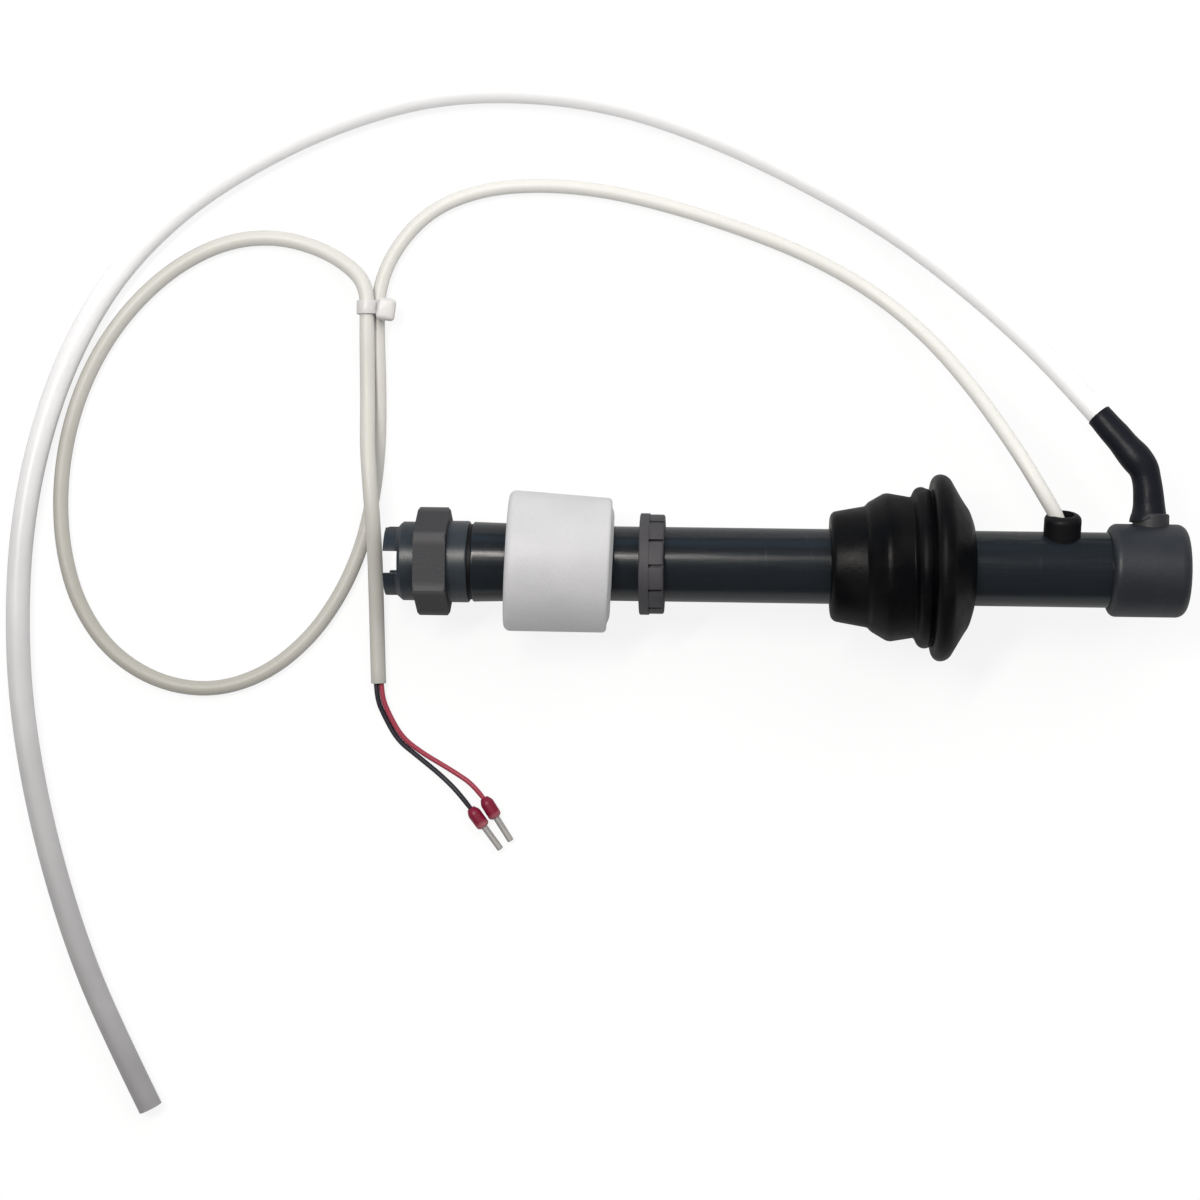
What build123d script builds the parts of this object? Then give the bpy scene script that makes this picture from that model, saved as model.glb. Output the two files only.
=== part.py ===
from build123d import *
from math import atan, cos, degrees, pi, radians, sin, sqrt, tan
import os

# Suction lance with a float level switch, lying on a flat surface. Millimetres.
# The lance is drawn along X from its foot tip, then laid down on its float and its bung.

# Fits between neighbours
glue_gap = 0.05
running_gap = 0.05
stop_gap = 0.3

# Lance tube
tube_d = 20.0
tube_wall = 1.5
flare_d = 21.5
flare_waist_d = 21.0
flare_waist_length = 9.0
flare_length = 17.0
flare_edge = 0.4

# Foot strainer
tip_d = 19.1
tip_length = 3.3
tip_cone = 1.4
tip_edge = 0.4
foot_d = 21.2
foot_length = 8.5
strainer_bore_d = 12.8
slot_width = 5.9
slot_depth = 3.9
slot_count = 4
foot_roll = 3.5

# Foot nut
nut_across_flats = 25.2
nut_length = 8.6
nut_face_d = 27.6
nut_chamfer_angle = 34.5

# Foot body: collar, thread towards the tip, spigot in the tube's flare
thread_d = 16.0
thread_engagement = 4.2
collar_d = 21.9
collar_length = 5.4
collar_edge = 0.5
spigot_length = 11.0
spigot_relief = 0.4
spigot_taper = 0.2
spigot_end_wall = 4.0
gasket_d = 20.3
gasket_width = 1.0

# Foot valve
ball_d = 9.0
ball_lift = 2.5
ball_chamber_d = 10.8
seat_hole_d = 6.4
seat_d = 12.4
seat_thickness = 2.4
seat_gap = 0.1
valve_port_d = 6.8
port_slot_width = 2.6
port_slot_depth = 2.0

# Hoses
hose_d = 6.4
hose_bore_d = 4.2
barb_length = 6.0
barb_root_d = 3.5
barb_count = 3
barb_hole_d = 2.4
barb_tooth_share = 0.2

# Float
float_x = 32.9
float_d = 37.85
float_end_d = 36.1
float_length = 27.3
float_crown = 0.8
float_wall = 2.0
float_edge = 2.2
float_end_edge = 1.7
float_collar_gap = 0.6
float_least_gap = 0.1
lid_thickness = 2.4
lid_ledge = 0.8
lid_edge = 1.2
lid_bore_edge = 0.5
magnet_width = 2.0
magnet_length = 8.0

# Stop ring
ring_x = 68.2
ring_d = 27.2
ring_hub_d = 26.6
ring_flange = 2.6
ring_length = 6.6
ring_notches = 12
ring_notch_width = 0.9
ring_notch_depth = 1.1
ring_phase = 3.0
ring_edge = 0.4
ring_hub_edge = 0.6

# Rubber bung, outline from its nose
bung_x = 118.8
bung_nose_d = 29.0
bung_cone_d = 32.4
bung_cone_length = 9.7
bung_cone_rise = 0.9
bung_cone_rise_length = 0.6
bung_step_d = 39.7
bung_step_x = 15.0
bung_neck_d = 37.4
bung_neck_x = 21.8
bung_lip_d = 43.0
bung_lip_x = 23.2
bung_lip_end_x = 25.6
bung_groove_d = 41.0
bung_groove_x = 26.6
bung_flange_d = 49.7
bung_flange_x = 27.2
bung_flange_end_x = 31.0
bung_front_edge_share = 0.45
bung_back_edge_share = 0.75
bung_shoulder_d = 35.6
bung_shoulder_x = 35.6
bung_rim_d = 34.0
bung_rim_x = 36.7
bung_back_d = 27.0
bung_length = 38.6

# End cap
cap_x = 192.3
cap_wall = 2.35
cap_socket = 7.7
cap_clearance = 3.2
cap_end_wall = 3.0
cap_edge_share = 1.2
cap_mouth_edge_share = 0.9

# Hose elbow
elbow_gap = 0.2
elbow_collar_d = 9.6
elbow_collar_height = 2.7
elbow_collar_edge = 0.6

# Shrink sleeve
sleeve_d = 7.8
sleeve_length = 38.0

# Cable, cores and grommet
cable_d = 4.0
core_d = 1.2
core_spread = 0.75
core_hose_gap = 0.5
core_straight = 8.0
core_sweep_r = 60.0
grommet_x = 179.7
grommet_angle = 20.0
grommet_d = 9.8
grommet_height = 5.4
grommet_neck_d = 6.8
grommet_edge = 1.7
grommet_recess_d = 5.8
grommet_recess_depth = 1.4
grommet_neck_reach = 0.3

# Reed switch
capsule_x = 37.0
capsule_d = 5.0
capsule_wall = 0.7
capsule_length = 29.0
potting_length = 3.0
reed_glass_d = 2.2
reed_glass_length = 14.0
reed_glass_start = 3.0
reed_lead_d = 0.5
reed_bulb_edge = 0.7
reed_lead_reach = 2.0
reed_lead_turn = 1.3
reed_lead_return = 1.4
reed_lead_r = 0.6
solder_x = 24.0

# Cable tie
tie_band = 0.9
tie_width = 3.6
tie_head_width = 4.6
tie_head_length = 6.0
tie_head_height = 4.4
tie_head_edge = 0.9
tie_head_share = 0.75
tie_place = (-112.15, 69.3)
strand_spacing = 4.6

# Ferrules
ferrule_length = 14.0
ferrule_pin_length = 8.0
ferrule_pin_d = 1.8
ferrule_grip_d = 1.4
ferrule_collar_d = 3.8
ferrule_collar_end_d = 3.0
ferrule_grip = 4.0
ferrule_mouth = 1.2
ferrule_lip = 0.45
ferrule_edge = 0.3

# Cords
corner_share = 0.45
sheath_lead = 4.4
ferrule_lead = 3.5

tube_r = tube_d / 2
tube_bore_r = tube_r - tube_wall
collar_r = collar_d / 2
nut_x = foot_length
collar_x = nut_x + nut_length
gasket_x = collar_x + collar_length
tube_x = gasket_x + gasket_width
tube_end_x = cap_x + cap_socket
spigot_end_x = tube_x + spigot_length
elbow_x = tube_end_x + elbow_gap + hose_d / 2
elbow_shoulder_x = elbow_x - hose_d / 2 - glue_gap
cap_d = tube_d + 2 * cap_wall
cap_end = elbow_x + hose_d / 2 + cap_clearance + cap_end_wall

# The lance lies on the float's foot edge and on the bung's flange, so it slopes.
float_rest_x = float_x + float_edge
bung_rest_x = bung_x + (bung_flange_x + bung_flange_end_x) / 2
slope = degrees(atan((bung_flange_d - float_d) / 2 / (bung_rest_x - float_rest_x)))


def turned(*outline):
    """Solid turned about X. Each corner is (x, radius) or (x, radius, corner radius)."""
    face = make_face(Polyline(*[corner[:2] for corner in outline], close=True))
    for x, radius, edge in [corner for corner in outline if len(corner) == 3]:
        point = face.vertices().sort_by_distance((x, radius))[0]
        face = fillet(point, edge)
    return revolve(face, Axis.X)


def rod(start_x, end_x, diameter):
    """Plain round rod along X."""
    return turned((start_x, 0), (start_x, diameter / 2), (end_x, diameter / 2), (end_x, 0))


def pipe(start_x, end_x, diameter, bore):
    """Plain round tube along X."""
    return turned(
        (start_x, bore / 2), (start_x, diameter / 2), (end_x, diameter / 2), (end_x, bore / 2)
    )


def sideways(x, angle):
    """Place on the lance's axis at x whose own X points out of it, angle degrees above +Y."""
    return Pos(x, 0, 0) * Rot(X=angle) * Rot(Z=90)


def barb(start):
    """Hose barb along X from start, with its teeth just inside the hose's bore."""
    pitch = barb_length / barb_count
    tooth_r = hose_bore_d / 2 - glue_gap
    corners = [(start, 0)]
    for tooth in range(barb_count):
        x = start + tooth * pitch
        corners += [(x, barb_root_d / 2), (x + barb_tooth_share * pitch, tooth_r)]
    corners += [(start + barb_length, barb_root_d / 2), (start + barb_length, 0)]
    return turned(*corners)


def foot_strainer():
    """Tip of the foot, slotted crosswise, screwed onto the foot body's thread."""
    thread_r = thread_d / 2 + glue_gap
    thread_x = foot_length - thread_engagement
    body = turned(
        (0, strainer_bore_d / 2),
        (0, tip_d / 2, tip_edge),
        (tip_length, tip_d / 2),
        (tip_length + tip_cone, foot_d / 2),
        (foot_length, foot_d / 2),
        (foot_length, thread_r),
        (thread_x, thread_r),
        (thread_x, strainer_bore_d / 2),
    )
    slot = Pos(X=slot_depth / 2) * Box(slot_depth, slot_width, foot_d / 2)
    for turn in range(slot_count):
        body -= Rot(X=foot_roll + turn * 360 / slot_count) * Pos(Z=foot_d / 2) * slot
    return body


def foot_nut():
    """Hexagon nut with both ends chamfered, a flat on top and a corner at each side.

    It is screwed home a little past square, as the strainer is.
    """
    hexagon = RegularPolygon(nut_across_flats / 2, 6, major_radius=False, rotation=30)
    nut = Pos(X=nut_x) * Rot(Y=90) * extrude(hexagon, nut_length)
    far_r = nut_across_flats
    end_r = nut_face_d / 2
    end_x = nut_x + nut_length
    reach = (far_r - end_r) * tan(radians(nut_chamfer_angle))
    chamfers = turned(
        (nut_x, 0),
        (nut_x, end_r),
        (nut_x + reach, far_r),
        (end_x - reach, far_r),
        (end_x, end_r),
        (end_x, 0),
    )
    nut = (nut & chamfers) - rod(nut_x, end_x, thread_d + 2 * glue_gap)
    return Rot(X=foot_roll) * nut


def foot_body():
    """Collar, thread and spigot in one, with the ball's chamber and the inner hose's barb."""
    thread_end = nut_x - thread_engagement + glue_gap
    seat_pocket_end = thread_end + seat_thickness
    chamber_end = ball_place() + ball_d / 2 + ball_lift
    spigot_r = flare_waist_d / 2 - tube_wall - glue_gap
    body = turned(
        (thread_end, 0),
        (thread_end, thread_d / 2),
        (collar_x, thread_d / 2),
        (collar_x, collar_r),
        (gasket_x, collar_r, collar_edge),
        (gasket_x, flare_d / 2 - tube_wall - glue_gap),
        (tube_x, flare_d / 2 - tube_wall - glue_gap),
        (tube_x + flare_waist_length, spigot_r),
        (tube_x + flare_waist_length + glue_gap, spigot_r - spigot_relief),
        (spigot_end_x, spigot_r - spigot_relief - spigot_taper),
        (spigot_end_x, 0),
    )
    body += barb(spigot_end_x)
    body -= rod(thread_end, seat_pocket_end, seat_d + 2 * glue_gap)
    body -= rod(seat_pocket_end, chamber_end, ball_chamber_d)
    body -= rod(chamber_end, spigot_end_x - spigot_end_wall, valve_port_d)
    body -= rod(chamber_end, spigot_end_x + barb_length, barb_hole_d)
    notch = Box(port_slot_depth, ball_chamber_d, port_slot_width)
    for turn in (0, 90):
        body -= Rot(X=turn) * Pos(X=chamber_end + port_slot_depth / 2) * notch
    return body


def ball_place():
    """Place of the ball's centre when it lies against the rim of its seat."""
    seat_face = nut_x - thread_engagement + glue_gap + seat_thickness
    return seat_face + sqrt((ball_d / 2) ** 2 - (seat_hole_d / 2) ** 2) + seat_gap


def valve_seat():
    """Rubber ring that the ball closes."""
    start = nut_x - thread_engagement + glue_gap
    return pipe(start, start + seat_thickness, seat_d, seat_hole_d)


def lance_tube():
    """Tube whose foot end is flared over the spigot, with the hole for the grommet."""
    waist_x = tube_x + flare_waist_length
    flare_end = tube_x + flare_length
    body = turned(
        (tube_x, flare_d / 2 - tube_wall),
        (tube_x, flare_d / 2, flare_edge),
        (waist_x, flare_waist_d / 2),
        (flare_end, tube_r),
        (tube_end_x, tube_r),
        (tube_end_x, tube_bore_r),
        (flare_end, tube_bore_r),
        (waist_x, flare_waist_d / 2 - tube_wall),
    )
    hole = rod(0, tube_d, grommet_neck_d + 2 * glue_gap)
    return body - sideways(grommet_x, grommet_angle) * hole


float_bore_r = collar_r + float_collar_gap
float_lean = degrees(atan(2 * (float_collar_gap - float_least_gap) / float_length))
lid_x = float_length - lid_thickness
lid_r = float_end_d / 2 - float_wall
magnet_bore_r = float_bore_r + float_wall


def float_place():
    """The float's own place: it leans on the tube by what its bore allows."""
    middle = float_length / 2
    return Pos(X=float_x + middle) * Rot(Z=-float_lean) * Pos(X=-middle)


def float_body():
    """Tapered shell with an inner tube, open at the end that the lid closes."""
    return turned(
        (0, float_bore_r),
        (0, float_d / 2, float_edge),
        (float_length, float_end_d / 2, float_end_edge),
        (float_length, lid_r),
        (lid_x, lid_r),
        (lid_x, lid_r - lid_ledge),
        (float_wall, float_d / 2 - float_wall - lid_ledge),
        (float_wall, magnet_bore_r),
        (lid_x, magnet_bore_r),
        (lid_x, float_bore_r),
    )


def float_lid():
    """Crowned ring welded into the float's end."""
    crown_r = (float_bore_r + lid_r) / 2
    return turned(
        (lid_x, float_bore_r),
        (lid_x, lid_r - glue_gap),
        (float_length, lid_r - glue_gap),
        (float_length + float_crown, crown_r, lid_edge),
        (float_length + float_crown, float_bore_r, lid_bore_edge),
    )


def float_magnet():
    """Ring magnet at the bottom of the float's cavity, round the inner tube."""
    magnet_bore = 2 * (magnet_bore_r + glue_gap)
    return pipe(float_wall, float_wall + magnet_length, magnet_bore + 2 * magnet_width, magnet_bore)


def stop_ring():
    """Plain flange towards the float and a notched hub behind it."""
    ring_end = ring_x + ring_length
    hub_length = ring_length - ring_flange
    ring = turned(
        (ring_x, tube_r + glue_gap),
        (ring_x, ring_d / 2, ring_edge),
        (ring_x + ring_flange, ring_d / 2),
        (ring_x + ring_flange, ring_hub_d / 2),
        (ring_end, ring_hub_d / 2, ring_hub_edge),
        (ring_end, tube_r + glue_gap),
    )
    notch = Box(hub_length, ring_notch_width, 2 * ring_notch_depth)
    for turn in range(ring_notches):
        around = Rot(X=ring_phase + turn * 360 / ring_notches)
        ring -= around * Pos(ring_end - hub_length / 2, 0, ring_hub_d / 2) * notch
    return ring


def rubber_bung():
    """Stepped bung: nose cone, second cone, lip, and the flange that the container carries."""
    bore_r = tube_r + running_gap
    flange_width = bung_flange_end_x - bung_flange_x
    outline = [
        (0, bore_r),
        (0, bung_nose_d / 2, 2.0),
        (bung_cone_length, bung_cone_d / 2, 0.4),
        (bung_cone_length + bung_cone_rise_length, bung_cone_d / 2 + bung_cone_rise, 0.4),
        (bung_step_x, bung_step_d / 2, 1.2),
        (bung_neck_x, bung_neck_d / 2, 0.3),
        (bung_lip_x, bung_lip_d / 2, 1.0),
        (bung_lip_end_x, bung_lip_d / 2, 0.8),
        (bung_groove_x, bung_groove_d / 2, 0.3),
        (bung_flange_x, bung_flange_d / 2, bung_front_edge_share * flange_width),
        (bung_flange_end_x, bung_flange_d / 2, bung_back_edge_share * flange_width),
        (bung_shoulder_x, bung_shoulder_d / 2, 1.0),
        (bung_rim_x, bung_rim_d / 2, 1.6),
        (bung_length, bung_back_d / 2, 1.2),
        (bung_length, bore_r),
    ]
    return Pos(X=bung_x) * turned(*outline)


def end_cap():
    """Cap cemented over the tube's end, with a side hole for the elbow."""
    body = turned(
        (cap_x, tube_r + glue_gap),
        (cap_x, cap_d / 2, cap_mouth_edge_share * cap_wall),
        (cap_end, cap_d / 2, cap_edge_share * cap_wall),
        (cap_end, 0),
        (cap_end - cap_end_wall, 0),
        (cap_end - cap_end_wall, tube_bore_r),
        (tube_end_x + glue_gap, tube_bore_r),
        (tube_end_x + glue_gap, tube_r + glue_gap),
    )
    return body - sideways(elbow_x, 0) * rod(0, cap_d, hose_d + 2 * glue_gap)


def hose_elbow():
    """Elbow in the cap: a barb for the inner hose, and a collar and barb for the hose outside."""
    collar_top = cap_d / 2 + elbow_collar_height
    out = sideways(elbow_x, 0)
    collar = turned(
        (0, 0),
        (0, elbow_collar_d / 2),
        (collar_top, elbow_collar_d / 2, elbow_collar_edge),
        (collar_top, 0),
    )
    body = out * collar - rod(cap_x, cap_end, cap_d)
    body += out * rod(0, collar_top, hose_d)
    body += out * barb(collar_top)
    inward = Pos(X=elbow_x) * Rot(Z=180)
    shank = elbow_x - elbow_shoulder_x
    body += inward * rod(0, shank, hose_d)
    body += inward * barb(shank)
    body += Pos(X=elbow_x) * Sphere(hose_d / 2)
    body -= out * rod(0, collar_top + barb_length, barb_hole_d)
    body -= inward * rod(0, shank + barb_length, barb_hole_d)
    return body


def inner_hose():
    """Straight hose between the foot body's barb and the elbow's."""
    return pipe(spigot_end_x, elbow_shoulder_x, hose_d, hose_bore_d)


def cable_grommet():
    """Rubber grommet seated on the tube, its neck in the tube's wall."""
    top = tube_r + grommet_height
    hole_r = cable_d / 2 + glue_gap
    neck_x = tube_bore_r - grommet_neck_reach
    flange = turned(
        (neck_x, hole_r),
        (neck_x, grommet_d / 2),
        (top, grommet_d / 2, grommet_edge),
        (top, grommet_recess_d / 2),
        (top - grommet_recess_depth, grommet_recess_d / 2),
        (top - grommet_recess_depth, hole_r),
    )
    out = sideways(grommet_x, grommet_angle)
    neck = pipe(neck_x, tube_r + tube_wall, grommet_neck_d, 2 * hole_r)
    return out * flange - rod(cap_x - tube_d * 2, cap_x, tube_d) + out * neck


# The reed switch and the cores lie beside the inner hose, on the grommet's side of the tube.
sheath_start = tube_bore_r - grommet_neck_reach
capsule_offset = tube_bore_r - capsule_d / 2 - 2 * glue_gap
capsule_bore_d = capsule_d - 2 * capsule_wall


def beside_hose(x=0, out=0, across=0):
    """Point at x, out from the lance's axis towards the grommet, across it."""
    turn = radians(grommet_angle)
    y = out * cos(turn) - across * sin(turn)
    z = out * sin(turn) + across * cos(turn)
    return Vector(x, y, z)


def capsule_axis():
    """Place of the capsule's closed end."""
    return Location(beside_hose(capsule_x, capsule_offset))


def round_wire(points, radii, diameter, bore=0.0):
    """Round rod, or a tube with a bore, along straight runs joined by tangent arcs."""
    path = FilletPolyline(*points, radius=radii)
    start = Plane(origin=path @ 0, z_dir=path % 0)
    section = Circle(diameter / 2)
    if bore:
        section -= Circle(bore / 2)
    return sweep(start * section, path)


def reed_capsule():
    """Plastic capsule, closed towards the foot."""
    body = rod(0, capsule_length, capsule_d) - rod(capsule_wall, capsule_length, capsule_bore_d)
    return capsule_axis() * body


def capsule_potting():
    """Resin that closes the capsule round the two cores."""
    start = capsule_length - potting_length
    body = capsule_axis() * rod(start, capsule_length, capsule_bore_d)
    for side in (1, -1):
        hole = rod(start, capsule_length, core_d)
        centre = beside_hose(capsule_x, capsule_offset, side * core_spread)
        body -= Location(centre) * hole
    return body


def reed_glass():
    """Sealed glass of the reed switch, rounded at both ends."""
    end = reed_glass_start + reed_glass_length
    bulb_r = reed_glass_d / 2
    body = turned(
        (reed_glass_start, 0),
        (reed_glass_start, bulb_r, reed_bulb_edge),
        (end, bulb_r, reed_bulb_edge),
        (end, 0),
    )
    return capsule_axis() * body


def reed_leads():
    """Two leads: one straight to its core, one bent back past the glass."""
    glass_end = reed_glass_start + reed_glass_length
    turn_x = reed_glass_start - reed_lead_turn

    def inside(x, across):
        return beside_hose(capsule_x + x, capsule_offset, across)

    straight = round_wire(
        (inside(glass_end, 0), inside(glass_end + reed_lead_reach, 0), inside(solder_x, core_spread)),
        [2 * reed_lead_r],
        reed_lead_d,
    )
    returned = round_wire(
        (
            inside(reed_glass_start, 0),
            inside(turn_x, 0),
            inside(turn_x, -reed_lead_return),
            inside(glass_end + reed_lead_reach, -reed_lead_return),
            inside(solder_x, -core_spread),
        ),
        [reed_lead_r, reed_lead_r, 2 * reed_lead_r],
        reed_lead_d,
    )
    return [straight, returned]


def inner_core(side):
    """Core from its reed lead along the tube, then out into the cable's sheath."""
    low = hose_d / 2 + core_d / 2 + core_hose_gap
    across = side * core_spread
    bend = sheath_start - low - grommet_neck_reach
    points = (
        beside_hose(capsule_x + solder_x, capsule_offset, across),
        beside_hose(capsule_x + capsule_length + core_straight, capsule_offset, across),
        beside_hose(grommet_x, low, across),
        beside_hose(grommet_x, sheath_start, across),
    )
    return round_wire(points, [core_sweep_r, bend], core_d)



# Placing the lance: the lowest point touches the floor and the box is centred on the origin.
lance = {
    "foot_strainer": foot_strainer(),
    "foot_nut": foot_nut(),
    "foot_body": foot_body(),
    "foot_gasket": pipe(gasket_x, tube_x, gasket_d, flare_d - 2 * tube_wall),
    "valve_seat": valve_seat(),
    "valve_ball": Pos(X=ball_place()) * Sphere(ball_d / 2),
    "lance_tube": lance_tube(),
    "float_body": float_place() * float_body(),
    "float_lid": float_place() * float_lid(),
    "float_magnet": float_place() * float_magnet(),
    "stop_ring": stop_ring(),
    "rubber_bung": rubber_bung(),
    "end_cap": end_cap(),
    "hose_elbow": hose_elbow(),
    "inner_hose": inner_hose(),
    "cable_grommet": cable_grommet(),
    "reed_capsule": reed_capsule(),
    "capsule_potting": capsule_potting(),
    "reed_glass": reed_glass(),
    "reed_leads": Compound(reed_leads()),
    "inner_core_black": inner_core(1),
    "inner_core_red": inner_core(-1),
}
sloped = {name: Rot(Y=-slope) * piece for name, piece in lance.items()}
boxes = [piece.bounding_box() for piece in sloped.values()]
low_x = min(box.min.X for box in boxes)
high_x = max(box.max.X for box in boxes)
shift = Vector(-(low_x + high_x) / 2, 0, -min(box.min.Z for box in boxes))
laid = Location(shift) * Rot(Y=-slope)
pieces = {name: Location(shift) * piece for name, piece in sloped.items()}


def on_object(point):
    """A point of the lance, in the frame in which the object lies."""
    return (laid * Location(point)).position


def cord_radii(points):
    """Arc radius for each corner, which takes corner_share of the shorter run beside it."""
    radii = []
    for before, corner, after in zip(points, points[1:], points[2:]):
        run_in = Vector(corner) - Vector(before)
        run_out = Vector(after) - Vector(corner)
        half_turn = radians(run_in.get_angle(run_out)) / 2
        radii.append(corner_share * min(run_in.length, run_out.length) / tan(half_turn))
    return radii


def report_cord(name, points, diameter, solid, bore=0.0):
    """Print what the cord's rules ask for."""
    radii = cord_radii(points)
    runs = [(Vector(b) - Vector(a)).length for a, b in zip(points, points[1:])]
    length = FilletPolyline(*points, radius=radii).length
    section = (diameter**2 - bore**2) * pi / 4
    print(
        f"{name}: length {length:.1f}, runs {min(runs):.1f} to {max(runs):.1f}, "
        f"least radius {min(radii):.1f}, volume {solid.volume:.1f} of {section * length:.1f}"
    )


# Suction hose: out of the elbow, over the top, down the left and to its cut end.
hose_start = on_object((elbow_x, cap_d / 2 + elbow_collar_height, 0))
hose_route = [
    hose_start,
    hose_start + Vector(0, 10.8, 0),
    (81.45, 42.8, 24.0),
    (67.55, 58.3, 17.0),
    (49.45, 75.8, 9.5),
    (28.45, 92.3, 4.5),
    (4.45, 105.6, 3.2),
    (-20.55, 117.2, 3.2),
    (-46.05, 125.6, 3.2),
    (-71.55, 128.9, 3.2),
    (-97.05, 127.4, 3.2),
    (-121.55, 119.8, 3.2),
    (-144.55, 109.0, 3.2),
    (-165.85, 95.2, 3.2),
    (-183.55, 77.0, 3.2),
    (-195.85, 55.2, 3.2),
    (-203.65, 32.2, 3.2),
    (-207.85, 8.8, 3.2),
    (-208.85, -14.6, 3.2),
    (-207.65, -38.4, 3.2),
    (-203.65, -63.2, 3.2),
    (-197.25, -88.4, 3.2),
    (-188.85, -112.8, 3.2),
    (-179.25, -133.6, 3.2),
    (-170.35, -151.1, 3.2),
]

# Signal cable: out of the grommet, over the top, through the tie, round the loop, through
# the tie again and over its own first strand, ending beside the foot.
cable_exit = beside_hose(grommet_x, tube_r + grommet_height + 6.5)
cable_route = [
    on_object(beside_hose(grommet_x, sheath_start)),
    on_object(cable_exit),
    (65.55, 29.0, 31.5),
    (59.15, 38.4, 24.5),
    (51.15, 50.0, 15.0),
    (40.55, 63.4, 7.0),
    (26.05, 75.6, 2.4),
    (8.25, 85.5, 2.0),
    (-10.25, 92.6, 2.0),
    (-29.65, 98.6, 2.0),
    (-48.65, 102.9, 2.0),
    (-66.35, 104.3, 2.0),
    (-82.65, 102.8, 2.0),
    (-96.45, 97.2, 2.0),
    (-105.65, 87.0, 2.2),
    (-109.85, 75.4, 3.0),
    (-109.85, 63.4, 3.0),
    (-109.45, 50.6, 2.2),
    (-109.25, 37.6, 2.0),
    (-109.95, 25.6, 2.0),
    (-112.15, 13.8, 2.0),
    (-115.05, 2.2, 2.0),
    (-120.45, -10.0, 2.0),
    (-128.65, -21.8, 2.0),
    (-140.45, -31.6, 2.0),
    (-155.05, -36.4, 2.0),
    (-170.25, -34.2, 2.0),
    (-183.45, -26.0, 2.0),
    (-192.25, -13.4, 2.0),
    (-196.65, 1.2, 2.0),
    (-197.85, 16.4, 2.0),
    (-196.45, 31.4, 2.0),
    (-192.45, 46.0, 2.0),
    (-185.85, 59.6, 2.0),
    (-176.85, 71.4, 2.0),
    (-165.85, 81.0, 2.0),
    (-153.05, 87.4, 2.0),
    (-140.25, 89.0, 2.0),
    (-128.45, 86.4, 2.2),
    (-119.25, 81.0, 2.6),
    (-114.45, 74.4, 3.0),
    (-114.45, 63.6, 3.0),
    (-114.25, 52.6, 3.1),
    (-113.95, 42.2, 5.0),
    (-113.25, 31.4, 8.6),
    (-112.05, 21.6, 10.2),
    (-110.95, 11.6, 9.8),
    (-110.45, 1.4, 6.2),
    (-110.25, -9.8, 3.0),
    (-109.85, -21.8, 2.0),
    (-109.35, -33.6, 2.0),
]


def ferrule_place(start, heading):
    """Place of a ferrule whose collar starts there and points that way along the floor."""
    return Location((start[0], start[1], ferrule_collar_d / 2)) * Rot(Z=heading)


def ferrule_collar():
    """Plastic funnel that grips the core's insulation."""
    collar_end = ferrule_length - ferrule_pin_length
    hole_r = core_d / 2 + glue_gap
    return turned(
        (0, ferrule_collar_d / 2 - ferrule_lip),
        (0, ferrule_collar_d / 2, ferrule_edge / 2),
        (collar_end, ferrule_collar_end_d / 2, ferrule_edge),
        (collar_end, ferrule_grip_d / 2),
        (ferrule_grip, ferrule_grip_d / 2),
        (ferrule_grip, hole_r),
        (ferrule_mouth, hole_r),
    )


def ferrule_pin():
    """Metal tube crimped on the strands, chamfered at its tip."""
    collar_end = ferrule_length - ferrule_pin_length
    return turned(
        (ferrule_grip, 0),
        (ferrule_grip, ferrule_grip_d / 2),
        (collar_end, ferrule_grip_d / 2),
        (collar_end, ferrule_pin_d / 2),
        (ferrule_length, ferrule_pin_d / 2, ferrule_edge),
        (ferrule_length, 0),
    )


ferrules = {
    "black": ((-83.55, -67.6), -53.0),
    "red": ((-79.95, -64.7), -57.0),
}


def wire_end(colour):
    """Two last points of a core: before its ferrule, and inside it."""
    start, heading = ferrules[colour]
    place = ferrule_place(start, heading)
    return [(place * Location((x, 0, 0))).position for x in (-ferrule_lead, ferrule_grip)]


cable_end = Vector(cable_route[-1])
cable_heading = (cable_end - Vector(cable_route[-2])).normalized()
cable_across = Vector(0, 0, 1).cross(cable_heading).normalized()


def wire_start(side):
    """Two first points of a core: on the sheath's end face, then straight on from it."""
    start = cable_end + cable_across * side * core_spread
    return [start, start + cable_heading * sheath_lead]


wire_routes = {
    "black": [
        *wire_start(-1),
        (-107.65, -44.4, 0.8),
        (-103.05, -50.0, 0.65),
        (-96.85, -55.4, 0.65),
        (-90.85, -60.0, 1.0),
        *wire_end("black"),
    ],
    "red": [
        *wire_start(1),
        (-105.45, -42.8, 0.8),
        (-100.45, -47.6, 0.65),
        (-93.85, -52.6, 0.65),
        (-87.45, -57.0, 1.0),
        *wire_end("red"),
    ],
}


def cable_tie():
    """Band round both strands with its head on the upper outer corner, in one moulding."""
    inner_r = cable_d / 2 + 2 * glue_gap
    outer_r = inner_r + tie_band
    middle_z = outer_r
    band = SlotCenterToCenter(strand_spacing, 2 * outer_r)
    band -= SlotCenterToCenter(strand_spacing, 2 * inner_r)
    loop = extrude(Plane.XZ * band, tie_width / 2, both=True)
    head = Box(tie_head_width, tie_head_length, tie_head_height)
    head = fillet(head.edges(), tie_head_edge)
    head_z = outer_r * tie_head_share
    head_x = strand_spacing / 2 + head_z
    strands = SlotCenterToCenter(strand_spacing, 2 * inner_r)
    head = Pos(head_x, 0, head_z) * head - extrude(Plane.XZ * strands, tie_width, both=True)
    return Pos(*tie_place, middle_z) * (loop + head)


def start_of(route, length):
    """First stretch of a route's path."""
    path = FilletPolyline(*route, radius=cord_radii(route))
    return path.trim(0, length / path.length)


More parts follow.
